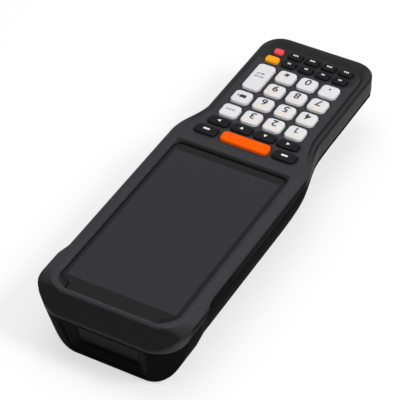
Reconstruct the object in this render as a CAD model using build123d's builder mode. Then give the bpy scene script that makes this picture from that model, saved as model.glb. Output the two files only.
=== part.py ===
import math
import os

from build123d import *

# Portable barcode data terminal, lying on its back.
# X is the user's right, Y runs from the keypad end (tail) to the scanning end (nose), Z is up from the back.
# The origin is the middle of the footprint on the flat back. Millimetres.
# A size named from_nose or from_tail is measured inwards from that end of the body.

# ---- overall form
overall_length = 213.0
head_width = 70.4
head_side_width = 67.0
corner_width = 73.6
corner_foot_width = 69.6
grip_width = 58.8
grip_side_width = 58.6
overall_height = 36.0
parting_z = 25.0
grip_belly_z = 13.0
head_flat_width = 36.0
grip_flat_width = 26.0
neck_length = 26.0
neck_past_keypad = 1.0
belly_past_neck = 12.0
corner_from_nose = 25.5
corner_blend_length = 9.0
nose_corner_radius = 14.0
foot_corner_radius = 18.0
tail_corner_radius = 11.0
tail_belly_radius = 9.0
nose_slope = 15.0
housing_wall = 2.2
cut_past = 1.0
form_past = 6.0
recess_past = 3.0
fuse_depth = 0.2
skim = 0.01
smallest_radius = 1.0

# ---- top of the front housing
rim_height = 1.7
rim_lip = 0.2
rim_top_z = 34.0
ridge_z = 35.0
block_height = 6.0
rim_rise_start = 1.0
rim_rise_end = 3.0
ridge_from_nose = 7.6
brow_foot_z = 26.6
brow_foot_setback = 0.3
brow_middle_z = 28.0
brow_middle_setback = 1.4
brow_top_z = 32.2
brow_top_past_ridge = 1.9
grip_band_z = 32.6
grip_band_rise = 1.2
valley_drop = 0.5
valley_width = 1.7
valley_tail_width = 5.5
plateau_z = 34.7
plateau_width = 52.0
plateau_from_tail = 9.0
plateau_ramp = 9.0
plateau_corner_radius = 8.0
ridge_loop_width = 63.0
ridge_corner_radius = 10.5
web = 1.4

# ---- glass and display
glass_width = 57.0
glass_past_keypad = 7.2
glass_from_ridge = 1.7
glass_notch_length = 7.2
glass_notch_width = 45.0
glass_thickness = 1.2
glass_top_z = 33.8
glass_gap = 0.35
glass_corner_radius = 3.5
dish_depth = 0.6
dish_width = 2.6
dish_end = 1.2
ledge_thickness = 1.2
display_gap = 0.4
stack_gap = 0.05
gasket_thickness = 0.5
display_width = 52.6
display_tail_margin = 3.8
display_nose_margin = 8.2
display_thickness = 3.0

# ---- keypad
key_pitch_x = 11.4
key_pitch_y = 11.6
key_width = 9.4
key_height = 9.2
key_corner_radius = 2.4
number_rows = 4
number_columns = 4
arrow_row_gap = 1.7
arrow_pitch = 12.0
arrow_width = 10.8
arrow_height = 5.8
arrow_corner_radius = 2.2
scan_row_gap = 1.8
scan_key_width = 24.8
scan_key_height = 7.0
side_key_width = 11.6
side_key_height = 6.4
side_key_x = 20.2
function_row_gap = 2.8
function_row_margin = 2.3
function_pitch_x = 9.0
function_pitch_y = 7.0
function_width = 7.2
function_height = 5.0
function_corner_radius = 1.6
function_columns = 5
power_width = 5.2
power_height = 4.2
key_clearance = 0.25
key_travel = 0.8
key_edge_radius = 0.45
flange_overhang = 0.45
flange_thickness = 0.7
flange_gap = 0.1
mat_gap = 0.1
dark_key_drop = 0.1
web_end_margin = 2.1
cavity_corner_radius = 4.0
mat_width = 48.4
mat_corner_radius = 3.0
board_width = 53.0
board_corner_radius = 2.0
board_tail_gap = 0.3
board_nose_margin = 0.6
keypad_board_thickness = 1.0

# ---- side triggers
trigger_from_nose = 44.5
trigger_z = 28.2
trigger_length = 20.0
trigger_height = 4.4
trigger_corner_radius = 2.0
trigger_proud = 0.7
trigger_travel = 0.8
trigger_flange = 0.8
trigger_flange_thickness = 0.8
trigger_clearance = 0.3

# ---- port cover
port_from_nose = 68.5
port_z = 24.4
port_face_x = 33.4
port_length = 17.0
port_height = 5.0
port_cover_thickness = 1.2
port_gap = 0.3
port_barrel_radius = 1.0
port_pin_radius = 0.5
port_pin_clearance = 0.06
port_pin_length = 0.8
port_block_x = 29.6
port_block_margin = 2.2
port_block_depth = 5.5
port_mouth_length = 10.0
port_mouth_height = 4.2
port_mouth_radius = 1.0
connector_length = 9.0
connector_height = 3.6
connector_depth = 8.0
connector_radius = 1.0
connector_shell = 0.5
connector_tongue = 0.7

# ---- scanner
recess_top_z = 23.4
recess_foot_z = 2.6
recess_top_width = 42.4
recess_foot_width = 37.2
recess_depth = 4.2
recess_radius = 1.6
recess_wall = 1.6
frame_setback = 0.5
frame_gap = 0.1
funnel_rim = 1.0
scan_opening_width = 29.0
scan_opening_height = 14.5
scan_opening_z = 14.2
pane_thickness = 1.1
pane_overlap = 1.0
pane_gap = 0.1
engine_width = 22.0
engine_from_nose = 24.5
engine_height = 13.0
engine_rim = 0.9

# ---- battery, door and latch
door_width = 44.0
door_from_hinge = 2.8
door_from_nose = 28.5
door_corner_radius = 2.0
door_thickness = 1.8
door_gap = 0.3
hinge_from_belly = 3.4
hinge_z = 2.6
barrel_radius = 2.3
barrel_gap = 1.1
barrel_length = 32.0
barrel_end_gap = 0.35
hinge_lining = 1.2
arm_top_z = 2.1
edge_sweep_gap = 0.34
door_pin_radius = 0.8
door_pin_clearance = 0.05
pin_seat_clearance = 0.02
ear_length = 3.6
battery_width = 42.0
battery_from_door = 2.0
battery_bottom_z = 2.1
battery_height = 13.0
battery_edge_radius = 3.0
battery_gap = 0.3
tray_wall = 1.2
tray_end_wall = 5.8
lip_width = 16.0
lip_length = 4.0
lip_top_z = 2.8
lip_bottom_z = 1.35
lip_back_gap = 0.8
latch_setback = 1.1
latch_length = 8.6
latch_width = 10.4
latch_flange = 1.6
latch_flange_z = 1.9
latch_low_z = 0.3
latch_top_z = 2.9
latch_gap = 0.3
latch_travel = 2.6
latch_pad_width = 19.0
latch_pad_margin = 2.2
latch_pad_wall = 1.2
tongue_width = 8.0
tongue_thickness = 0.7
tongue_gap = 0.6
tongue_end_gap = 0.7
groove_count = 4
groove_width = 0.8
groove_pitch = 1.6
groove_depth = 0.4

# ---- boards and small parts
chassis_width = 55.0
chassis_tail_margin = 2.0
chassis_nose_margin = 0.3
chassis_thickness = 1.4
chassis_corner_radius = 2.0
main_board_width = 57.0
main_board_setback = 5.3
main_board_thickness = 1.4
main_board_corner_radius = 3.0
main_board_z = 21.0
post_radius = 2.0
post_x = 18.0
post_inset = 6.0
front_boss_radius = 2.8
front_boss_top_z = 31.2
well_boss_radius = 3.6
screw_hole_radius = 1.1
screw_shank_radius = 0.95
screw_pilot_clearance = 0.05
screw_head_radius = 1.9
screw_head_height = 1.5
screw_head_clearance = 0.3
screw_socket_radius = 0.9
screw_socket_depth = 0.8
screw_seat_z = 17.0
screw_tip_z = 29.5
seal_margin = 0.6
seal_width = 1.0
seal_depth = 0.6
camera_x = -13.8
camera_window_radius = 3.4
camera_window_thickness = 1.0
camera_window_z = 0.3
camera_hole_radius = 2.6
camera_size = 6.0
camera_height = 4.5
camera_corner_radius = 0.6
speaker_from_tail = 42.5
speaker_width = 16.0
speaker_length = 24.0
speaker_height = 4.0
speaker_corner_radius = 3.0
speaker_slots = 5
speaker_slot_width = 12.0
speaker_slot = 1.2
speaker_slot_pitch = 2.6
dock_from_tail = 18.5
dock_width = 18.0
dock_length = 5.0
dock_corner_radius = 0.9
dock_flange = 1.2
dock_setback = 0.4
dock_height = 4.6
motor_x = 14.0
motor_past_speaker = 4.0
motor_radius = 2.1
motor_length = 10.0
motor_base = 0.6
motor_base_margin = 1.0
motor_base_radius = 1.0
antenna_width = 40.0
antenna_length = 9.0
antenna_thickness = 0.8
antenna_corner_radius = 1.0
antenna_setback = 9.3
nose_screw_x = 24.5
nose_screw_from_nose = 14.0
neck_screw_x = 27.0
neck_screw_past_neck = 1.4
tail_screw_x = 19.0
tail_screw_from_tail = 6.9

# ---- derived places
white_key_top_z = overall_height
dark_key_top_z = white_key_top_z - dark_key_drop
nose_y = overall_length / 2
tail_y = -overall_length / 2
slope_run = math.tan(math.radians(nose_slope))
web_under_z = plateau_z - web
flange_top_z = web_under_z - flange_gap
flange_bottom_z = flange_top_z - flange_thickness
mat_top_z = flange_bottom_z - key_travel - mat_gap
shelf_z = grip_band_z - housing_wall
keypad_board_low_z = shelf_z - keypad_board_thickness
inner_belly_z = grip_belly_z + housing_wall
glass_bottom_z = glass_top_z - glass_thickness
gasket_bottom_z = glass_bottom_z - gasket_thickness
ledge_bottom_z = gasket_bottom_z - ledge_thickness
display_top_z = glass_bottom_z - stack_gap
display_bottom_z = display_top_z - display_thickness
chassis_top_z = display_bottom_z - stack_gap
chassis_low_z = chassis_top_z - chassis_thickness
side_half = head_side_width / 2

# keypad rows, counted up from the tail
plateau_tail_y = tail_y + plateau_from_tail
function_row_y = plateau_tail_y + function_row_margin + function_height / 2 + function_pitch_y
last_number_row_y = function_row_y + function_height / 2 + function_row_gap + key_height / 2
number_row_y = last_number_row_y + (number_rows - 1) * key_pitch_y
arrow_row_y = number_row_y + key_height / 2 + arrow_row_gap + arrow_height / 2
scan_row_y = arrow_row_y + arrow_height / 2 + scan_row_gap + scan_key_height / 2
keypad_end_y = scan_row_y + scan_key_height / 2
web_end_y = keypad_end_y + web_end_margin
board_tail_y = plateau_tail_y + web + board_tail_gap
board_nose_y = keypad_end_y + board_nose_margin

# outline of the body, between the keypad and the nose
neck_head_y = web_end_y + neck_past_keypad
neck_tail_y = neck_head_y - neck_length
belly_head_y = neck_head_y + belly_past_neck
belly_tail_y = neck_tail_y - belly_past_neck
corner_full_y = nose_y - corner_from_nose
corner_start_y = corner_full_y - corner_blend_length

# screen, from the keypad to the nose
ridge_y = nose_y - ridge_from_nose
glass_tail_y = web_end_y + glass_past_keypad
glass_nose_y = ridge_y - glass_from_ridge
glass_notch_y = glass_nose_y - glass_notch_length
display_tail_y = glass_tail_y + display_tail_margin
display_nose_y = glass_nose_y - display_nose_margin
chassis_tail_y = display_tail_y - chassis_tail_margin
chassis_nose_y = display_nose_y + chassis_nose_margin
main_board_nose_y = chassis_nose_y - main_board_setback
antenna_y = chassis_nose_y - antenna_setback

# battery and its door, from the hinge to the latch
hinge_y = belly_head_y + hinge_from_belly
door_tail_y = hinge_y + door_from_hinge
edge_sweep_radius = math.hypot(door_from_hinge - door_gap, hinge_z) + edge_sweep_gap
door_nose_y = nose_y - door_from_nose
door_middle_y = (door_tail_y + door_nose_y) / 2
door_length = door_nose_y - door_tail_y
battery_tail_y = door_tail_y + battery_from_door
battery_nose_y = door_nose_y - lip_length - lip_back_gap
battery_top_z = battery_bottom_z + battery_height
latch_y = door_nose_y + latch_travel + latch_setback + latch_length / 2
latch_nose_y = latch_y + latch_length / 2
latch_pad_nose_y = latch_nose_y + latch_pad_margin
tongue_tip_y = door_nose_y + tongue_gap
lip_relief_y = tongue_tip_y - latch_travel - tongue_end_gap

# parts placed from one end
trigger_y = nose_y - trigger_from_nose
port_y = nose_y - port_from_nose
engine_tail_y = nose_y - engine_from_nose
camera_y = latch_y
speaker_y = tail_y + speaker_from_tail
motor_y = speaker_y + motor_past_speaker
dock_y = tail_y + dock_from_tail
screw_places = [(nose_screw_x, nose_y - nose_screw_from_nose),
                (neck_screw_x, neck_head_y + neck_screw_past_neck),
                (tail_screw_x, tail_y + tail_screw_from_tail)]


def smooth(value, low, high):
    share = min(max((value - low) / (high - low), 0.0), 1.0)
    return share * share * (3 - 2 * share)


def half_edge(grip, head, corner, nose, radius, tail, tail_radius):
    """Edges of the right-hand half of the outline, from the tail to the nose."""
    neck = (neck_head_y - neck_tail_y) / 3
    bulge = (corner_full_y - corner_start_y) / 3
    centre_y = nose - radius
    Line((0, tail), (grip - tail_radius, tail))
    CenterArc((grip - tail_radius, tail + tail_radius), tail_radius, 270, 90)
    Line((grip, tail + tail_radius), (grip, neck_tail_y))
    Bezier((grip, neck_tail_y), (grip, neck_tail_y + neck), (head, neck_head_y - neck), (head, neck_head_y))
    Line((head, neck_head_y), (head, corner_start_y))
    Bezier((head, corner_start_y), (head, corner_start_y + bulge),
           (corner, corner_full_y - bulge), (corner, corner_full_y))
    Line((corner, corner_full_y), (corner, centre_y))
    CenterArc((corner - radius, centre_y), radius, 0, 90)
    Line((corner - radius, nose), (0, nose))


def plan(height, grip, head, corner, margin=0.0, nose=nose_y, radius=nose_corner_radius,
         tail=tail_y, tail_radius=tail_corner_radius):
    """Plan outline of the body as a face at the given height. Widths are full widths."""
    with BuildSketch(Plane.XY.offset(height)) as outline:
        with BuildLine():
            half_edge(grip / 2 - margin, head / 2 - margin, corner / 2 - margin, nose - margin,
                      radius - margin, tail + margin, max(tail_radius - margin, smallest_radius))
            mirror(about=Plane.YZ)
        make_face()
    return outline.sketch


def slab(width, length, radius, x, y, low, high):
    """Rounded plate between two heights."""
    with BuildPart() as plate:
        with BuildSketch(Plane.XY.offset(low)):
            with Locations((x, y)):
                RectangleRounded(width, length, radius)
        extrude(amount=high - low)
    return plate.part


def box_between(low, high):
    """Plain block between two corners."""
    with BuildPart() as block:
        with Locations(((low[0] + high[0]) / 2, (low[1] + high[1]) / 2, (low[2] + high[2]) / 2)):
            Box(high[0] - low[0], high[1] - low[1], high[2] - low[2])
    return block.part


def side_profile(points, half_width=corner_width):
    """Body made of a closed outline in the Y-Z plane, as wide as the terminal."""
    with BuildPart() as profile:
        with BuildSketch(Plane.YZ):
            with BuildLine():
                Polyline(*points, close=True)
            make_face()
        extrude(amount=half_width, both=True)
    return profile.part


def face_y(height, depth=0.0):
    """Y of the sloping nose face at a height, set back by a depth."""
    return nose_y - (parting_z - height) * slope_run - depth


def steps(start, end, count):
    """Evenly spaced places from the start, with the end left out."""
    return [start + (end - start) * step / count for step in range(count)]


# ---- outer forms
def rear_form(inset):
    """Outer shape of the rear half, or its inner shape when inset by the wall."""
    stations = [nose_y + form_past, *steps(corner_full_y, corner_start_y, 2),
                *steps(corner_start_y, belly_head_y, 2), *steps(belly_head_y, neck_head_y, 2),
                *steps(neck_head_y, neck_tail_y, 6), *steps(neck_tail_y, belly_tail_y, 2),
                belly_tail_y, tail_y - form_past]
    with BuildPart() as form:
        for y in stations:
            neck = smooth(y, neck_tail_y, neck_head_y)
            bulge = smooth(y, corner_start_y, corner_full_y)
            half = (grip_side_width + (head_side_width - grip_side_width) * neck) / 2
            half += (corner_foot_width - head_side_width) / 2 * bulge - inset
            flat = (grip_flat_width + (head_flat_width - grip_flat_width) * neck) / 2 - inset / 2
            low = grip_belly_z * (1 - smooth(y, belly_tail_y, belly_head_y)) + inset
            with BuildSketch(Plane.XZ.offset(-y)):
                with BuildLine():
                    Line((-flat, low), (flat, low))
                    EllipticalCenterArc((flat, parting_z), half - flat, parting_z - low,
                                         start_angle=270, arc_size=90)
                    Line((half, parting_z), (-half, parting_z))
                    EllipticalCenterArc((-flat, parting_z), half - flat, parting_z - low,
                                         start_angle=180, arc_size=90)
                make_face()
        loft(ruled=True)
    with BuildPart() as ends:
        top = plan(parting_z, grip_width, head_width, corner_foot_width, margin=inset)
        fall = (parting_z + cut_past) * slope_run
        foot = plan(-cut_past, grip_width, head_width, corner_foot_width, margin=inset, nose=nose_y - fall,
                    radius=foot_corner_radius, tail=tail_y + fall)
        loft(sections=[foot, top], ruled=True)
    tail_reach = tail_y + inset
    belly_start_y = belly_tail_y - form_past
    with BuildPart() as tail_round:
        with BuildSketch(Plane.YZ):
            with BuildLine():
                Polyline((tail_reach, parting_z), (nose_y + form_past, parting_z),
                         (nose_y + form_past, -cut_past), (belly_start_y, -cut_past),
                         (belly_start_y, grip_belly_z + inset),
                         (tail_reach + tail_belly_radius, grip_belly_z + inset))
                CenterArc((tail_reach + tail_belly_radius, grip_belly_z + inset + tail_belly_radius),
                          tail_belly_radius, 180, 90)
                Line((tail_reach, grip_belly_z + inset + tail_belly_radius), (tail_reach, parting_z))
            make_face()
        extrude(amount=corner_width, both=True)
    return form.part & ends.part & tail_round.part


def ridge_plan(height, grow=0.0, tail_grow=0.0):
    """Outline of the raised middle: the screen bezel's ridge and the keypad plateau."""
    return plan(height, plateau_width + 2 * grow, ridge_loop_width + 2 * grow, ridge_loop_width + 2 * grow,
                nose=ridge_y + grow, radius=ridge_corner_radius + grow,
                tail=plateau_tail_y - tail_grow, tail_radius=plateau_corner_radius + grow)


def glass_outline(height, side=0.0, end=0.0):
    """Outline of the display glass: rounded far corners, near corners notched in towards the nose."""
    half = glass_width / 2 + side
    notch = glass_notch_width / 2 + side
    low = glass_tail_y - end
    high = glass_nose_y + end
    radius = glass_corner_radius + end
    with BuildSketch(Plane.XY.offset(height)) as outline:
        with BuildLine():
            Line((0, low), (half - radius, low))
            CenterArc((half - radius, low + radius), radius, 270, 90)
            Line((half, low + radius), (half, glass_notch_y))
            Line((half, glass_notch_y), (notch, high - glass_corner_radius))
            Line((notch, high - glass_corner_radius), (notch, high))
            Line((notch, high), (0, high))
            mirror(about=Plane.YZ)
        make_face()
    return outline.sketch


# ---- front housing
rim_foot_z = rim_top_z - rim_height
block_top_z = parting_z + block_height
block_width = corner_width - 2 * rim_lip
with BuildPart() as front_body:
    loft(sections=[plan(parting_z, grip_width, head_side_width, corner_foot_width),
                   plan(block_top_z, grip_width, head_side_width, block_width)], ruled=True)
    extrude(plan(block_top_z, grip_width, head_side_width, block_width), amount=grip_band_z - block_top_z)
    loft(sections=[plan(grip_band_z, grip_width, head_side_width, block_width),
                   plan(grip_band_z + grip_band_rise, grip_width, head_side_width, block_width,
                        margin=grip_band_rise)], ruled=True)

with BuildPart() as valley:
    loft(sections=[ridge_plan(grip_band_z + valley_drop),
                   ridge_plan(grip_band_z + grip_band_rise + skim, grow=valley_width,
                              tail_grow=valley_tail_width)], ruled=True)

with BuildPart() as rim:
    extrude(plan(rim_foot_z, grip_width, head_width, corner_width), amount=rim_height)
    extrude(plan(block_top_z, grip_width, head_side_width, block_width), amount=rim_foot_z - block_top_z)
    loft(sections=[plan(rim_top_z, grip_width, head_width, corner_width), ridge_plan(ridge_z)],
         ruled=True)
rim_tail_y = neck_tail_y + rim_rise_start
rim_full_y = neck_head_y + rim_rise_end
rim_profile = side_profile([(rim_tail_y, grip_band_z - 2 * cut_past),
                            (nose_y + cut_past, grip_band_z - 2 * cut_past),
                            (nose_y + cut_past, ridge_z + cut_past),
                            (rim_full_y, ridge_z + cut_past),
                            (rim_full_y, ridge_z), (rim_tail_y, grip_band_z)])

with BuildPart() as plateau:
    extrude(ridge_plan(parting_z), amount=ridge_z - parting_z)
plateau_profile = side_profile([(tail_y, parting_z), (nose_y, parting_z), (nose_y, ridge_z),
                                (glass_tail_y - dish_width, ridge_z),
                                (glass_tail_y - plateau_ramp, plateau_z), (tail_y, plateau_z)])
face_profile = side_profile([(tail_y - cut_past, parting_z), (nose_y, parting_z),
                             (nose_y - brow_foot_setback, brow_foot_z),
                             (nose_y - brow_middle_setback, brow_middle_z),
                             (ridge_y + brow_top_past_ridge, brow_top_z), (ridge_y, ridge_z),
                             (tail_y - cut_past, ridge_z)])

front_outer = front_body.part - valley.part
front_outer = front_outer + (rim.part & rim_profile) + (plateau.part & plateau_profile)
front_outer = front_outer & face_profile


def side_plate(low, high, y, z, length, height, radius):
    """Rounded plate standing in the Y-Z plane between two X values."""
    with BuildPart() as plate:
        with BuildSketch(Plane.YZ.offset(low)):
            with Locations((y, z)):
                RectangleRounded(length, height, radius)
        extrude(amount=high - low)
    return plate.part


def upright(x, y, radius, low, high):
    """Round bar along Z."""
    with BuildPart() as bar:
        with BuildSketch(Plane.XY.offset(low)):
            with Locations((x, y)):
                Circle(radius)
        extrude(amount=high - low)
    return bar.part


def crossbar(half_length, y, z, radius):
    """Round bar along X, centred on the middle plane."""
    with BuildPart() as bar:
        with BuildSketch(Plane.YZ.offset(-half_length)):
            with Locations((y, z)):
                Circle(radius)
        extrude(amount=2 * half_length)
    return bar.part


def both_sides(places):
    return [(side * x, y) for x, y in places for side in (-1, 1)]


# ---- keys: place, size, corner radius and height of the top
def grid_key(column, row):
    x = (column - (number_columns - 1) / 2) * key_pitch_x
    y = number_row_y - row * key_pitch_y
    return x, y, key_width, key_height, key_corner_radius, white_key_top_z


def function_key(column, row):
    x = (column - (function_columns - 1) / 2) * function_pitch_x
    y = function_row_y - row * function_pitch_y
    return x, y, function_width, function_height, function_corner_radius, dark_key_top_z


def arrow_key(column):
    x = (column - (number_columns - 1) / 2) * arrow_pitch
    return x, arrow_row_y, arrow_width, arrow_height, arrow_corner_radius, dark_key_top_z


keys = {
    "key_scan": (0, scan_row_y, scan_key_width, scan_key_height, key_corner_radius, white_key_top_z),
    "key_side_left": (-side_key_x, scan_row_y, side_key_width, side_key_height, arrow_corner_radius,
                      dark_key_top_z),
    "key_side_right": (side_key_x, scan_row_y, side_key_width, side_key_height, arrow_corner_radius,
                       dark_key_top_z),
    "key_arrow_left": arrow_key(0),
    "key_arrow_up": arrow_key(1),
    "key_arrow_down": arrow_key(2),
    "key_arrow_right": arrow_key(3),
    "key_1": grid_key(0, 0),
    "key_2": grid_key(1, 0),
    "key_3": grid_key(2, 0),
    "key_shift": grid_key(3, 0),
    "key_4": grid_key(0, 1),
    "key_5": grid_key(1, 1),
    "key_6": grid_key(2, 1),
    "key_camera": grid_key(3, 1),
    "key_7": grid_key(0, 2),
    "key_8": grid_key(1, 2),
    "key_9": grid_key(2, 2),
    "key_point": grid_key(0, 3),
    "key_0": grid_key(1, 3),
    "key_star": grid_key(2, 3),
    "key_enter": ((number_columns - 1) / 2 * key_pitch_x, last_number_row_y + key_pitch_y / 2, key_width,
                  key_height + key_pitch_y, key_corner_radius, white_key_top_z),
    "key_f1": function_key(0, 0),
    "key_f2": function_key(1, 0),
    "key_f3": function_key(2, 0),
    "key_f4": function_key(3, 0),
    "key_f5": function_key(0, 1),
    "key_f6": function_key(1, 1),
    "key_f7": function_key(2, 1),
    "key_f8": function_key(3, 1),
    "key_function": function_key(4, 0),
    "key_power": ((function_columns - 1) / 2 * function_pitch_x, function_row_y - function_pitch_y, power_width,
                  power_height, function_corner_radius, dark_key_top_z),
}


def keycap(x, y, width, height, radius, top_z):
    """Rounded cap with a flange that holds it under the housing's web."""
    with BuildPart() as cap:
        with BuildSketch(Plane.XY.offset(flange_bottom_z)):
            with Locations((x, y)):
                RectangleRounded(width + 2 * flange_overhang, height + 2 * flange_overhang,
                                 radius + flange_overhang)
        extrude(amount=flange_thickness)
        with BuildSketch(Plane.XY.offset(flange_top_z)):
            with Locations((x, y)):
                RectangleRounded(width, height, radius)
        extrude(amount=top_z - flange_top_z)
        fillet(cap.faces().sort_by(Axis.Z)[-1].edges(), key_edge_radius)
    return cap.part


with BuildPart() as key_holes:
    for x, y, width, height, radius, top_z in keys.values():
        with BuildSketch(Plane.XY.offset(flange_top_z)):
            with Locations((x, y)):
                RectangleRounded(width + 2 * key_clearance, height + 2 * key_clearance,
                                 radius + key_clearance)
        extrude(amount=ridge_z - flange_top_z + cut_past)

with BuildPart() as front_cavity:
    extrude(plan(parting_z - cut_past, grip_width, head_side_width, corner_foot_width, margin=housing_wall),
            amount=shelf_z - parting_z + cut_past)

with BuildPart() as keypad_cavity:
    extrude(plan(parting_z, plateau_width - 2 * web, ridge_loop_width - 2 * web, ridge_loop_width - 2 * web,
                 nose=ridge_y - web, radius=ridge_corner_radius - web, tail=plateau_tail_y + web,
                 tail_radius=cavity_corner_radius), amount=web_under_z - parting_z)
keypad_profile = side_profile([(tail_y, parting_z - cut_past), (ridge_y, parting_z - cut_past),
                               (ridge_y, ledge_bottom_z),
                               (web_end_y, ledge_bottom_z), (web_end_y, web_under_z), (tail_y, web_under_z)])

with BuildPart() as glass_pocket:
    extrude(glass_outline(gasket_bottom_z, glass_gap, glass_gap),
            amount=ridge_z - gasket_bottom_z + cut_past)
    loft(sections=[glass_outline(ridge_z - dish_depth, glass_gap, glass_gap),
                   glass_outline(ridge_z + skim, glass_gap + dish_width, glass_gap + dish_end)],
         ruled=True)

# ---- port: rebate, barrel pocket and bores shared by both housings
port_axis_x = port_face_x - port_barrel_radius
port_axis_y = port_y - port_length / 2 + port_barrel_radius
port_rebate_x = port_face_x - port_cover_thickness - port_gap
port_half = port_height / 2
port_reach = port_length / 2 + port_block_margin
with BuildPart() as port_cut:
    add(box_between((port_rebate_x, port_axis_y, port_z - port_half - port_gap),
                    (side_half + cut_past, port_y + port_length / 2 + port_gap, port_z + port_half + port_gap)))
    add(box_between((port_axis_x, port_axis_y - port_barrel_radius - port_gap, port_z - port_half - port_gap),
                    (side_half + cut_past, port_axis_y, port_z + port_half + port_gap)))
    add(upright(port_axis_x, port_axis_y, port_barrel_radius + port_gap, port_z - port_half - port_gap,
                port_z + port_half + port_gap))
    add(upright(port_axis_x, port_axis_y, port_pin_radius + port_pin_clearance,
                port_z - port_half - port_pin_length - port_gap,
                port_z + port_half + port_pin_length + port_gap))
    add(side_plate(port_block_x - cut_past, port_rebate_x + fuse_depth, port_y, port_z, port_mouth_length,
                   port_mouth_height, port_mouth_radius))

# ---- trigger slots, right side
flange_outer_x = side_half - housing_wall - flange_gap
trigger_inner_x = flange_outer_x - trigger_flange_thickness
with BuildPart() as trigger_cut:
    add(side_plate(trigger_inner_x - trigger_travel - trigger_clearance, side_half - housing_wall,
                   trigger_y, trigger_z,
                   trigger_length + 2 * trigger_flange + 2 * trigger_clearance,
                   trigger_height + 2 * trigger_flange + 2 * trigger_clearance, trigger_corner_radius))
    add(side_plate(side_half - housing_wall, side_half + cut_past, trigger_y, trigger_z,
                   trigger_length + 2 * trigger_clearance, trigger_height + 2 * trigger_clearance,
                   trigger_corner_radius + trigger_clearance))

with BuildPart() as front_housing:
    add(front_outer)
    add(front_cavity.part & (Pos(0, -housing_wall, 0) * face_profile), mode=Mode.SUBTRACT)
    add(keypad_cavity.part & keypad_profile, mode=Mode.SUBTRACT)
    for x, y in both_sides(screw_places):
        add(upright(x, y, front_boss_radius, parting_z, front_boss_top_z))
    add(box_between((port_block_x, port_y - port_reach, parting_z),
                    (port_axis_x, port_y + port_reach, shelf_z + fuse_depth)))
    add(glass_pocket.part, mode=Mode.SUBTRACT)
    add(box_between((-display_width / 2 - display_gap, display_tail_y - display_gap, parting_z),
                    (display_width / 2 + display_gap, display_nose_y + display_gap, glass_bottom_z)),
        mode=Mode.SUBTRACT)
    add(key_holes.part, mode=Mode.SUBTRACT)
    add(port_cut.part, mode=Mode.SUBTRACT)
    add(trigger_cut.part, mode=Mode.SUBTRACT)
    add(mirror(trigger_cut.part, about=Plane.YZ), mode=Mode.SUBTRACT)
    for x, y in both_sides(screw_places):
        add(upright(x, y, screw_shank_radius + screw_pilot_clearance, parting_z - cut_past,
                    screw_tip_z + screw_pilot_clearance * 2), mode=Mode.SUBTRACT)

# ---- rear housing
recess_mid_z = (recess_top_z + recess_foot_z) / 2
lean = math.cos(math.radians(nose_slope))
tray_top_z = battery_top_z + battery_gap + tray_wall
tray_half = battery_width / 2 + battery_gap + tray_wall
cavity_half = battery_width / 2 + battery_gap
pad_top_z = latch_top_z + latch_gap + latch_pad_wall
hinge_half = barrel_length / 2 + barrel_end_gap
ear_half = hinge_half + ear_length
well_radius = screw_head_radius + screw_head_clearance


def nose_plane(depth):
    """Plane parallel to the sloping nose face, set back from it along Y."""
    return Plane(origin=(0, face_y(recess_mid_z, depth), recess_mid_z), x_dir=(-1, 0, 0),
                 z_dir=(0, lean, -math.sin(math.radians(nose_slope))))


def recess_section(depth, grow=0.0):
    """Outline of the scanner recess in a plane parallel to the nose face."""
    high = (recess_top_z - recess_mid_z + grow) / lean
    top = recess_top_width / 2 + grow
    foot = recess_foot_width / 2 + grow
    with BuildSketch(nose_plane(depth)) as section:
        with BuildLine():
            Polyline((-foot, -high), (foot, -high), (top, high), (-top, high), close=True)
        make_face()
        fillet(section.vertices(), recess_radius + grow)
    return section.sketch


def opening_section(depth, width, height):
    """Rounded rectangle at the middle of the scanner pane, in a plane parallel to the nose face."""
    with BuildSketch(nose_plane(depth)) as section:
        with Locations((0, (scan_opening_z - recess_mid_z) / lean)):
            RectangleRounded(width, height / lean, recess_radius)
    return section.sketch


def nose_prism(near, far):
    with BuildPart() as prism:
        loft(sections=[far, near], ruled=True)
    return prism.part


rear_outer = rear_form(0)
door_hole = slab(door_width + 2 * door_gap, door_length + 2 * door_gap, door_corner_radius + door_gap,
                 0, door_middle_y, -cut_past, hinge_z + 2 * door_gap) - rear_form(door_thickness + door_gap)

with BuildPart() as rear_ribs:
    add(box_between((-tray_half, door_tail_y - door_gap, 0),
                    (tray_half, battery_nose_y + tray_end_wall, tray_top_z)))
    add(crossbar(ear_half, hinge_y, hinge_z, barrel_radius + barrel_gap + hinge_lining))
    add(box_between((-latch_pad_width / 2, battery_nose_y + tray_end_wall - cut_past, 0),
                    (latch_pad_width / 2, latch_pad_nose_y, pad_top_z)))
    add(nose_prism(recess_section(-recess_past, recess_wall),
                   recess_section(recess_depth + recess_wall, recess_wall)))
    add(box_between((port_block_x, port_y - port_reach, parting_z - port_block_depth),
                    (port_axis_x, port_y + port_reach, parting_z)))
    for x, y in both_sides(screw_places):
        add(upright(x, y, well_boss_radius, 0, parting_z))
    for x, y in both_sides([(post_x, battery_tail_y + post_inset), (post_x, battery_nose_y - post_inset)]):
        add(upright(x, y, post_radius, tray_top_z - fuse_depth, main_board_z))

with BuildPart() as seal_ring:
    extrude(plan(parting_z - seal_depth, grip_side_width, head_side_width, corner_foot_width,
                 margin=seal_margin), amount=seal_depth)
    extrude(plan(parting_z - seal_depth, grip_side_width, head_side_width, corner_foot_width,
                 margin=seal_margin + seal_width), amount=seal_depth, mode=Mode.SUBTRACT)
    add(box_between((port_block_x, port_y - port_reach, parting_z - cut_past),
                    (side_half + cut_past, port_y + port_reach, parting_z + cut_past)), mode=Mode.SUBTRACT)

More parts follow.
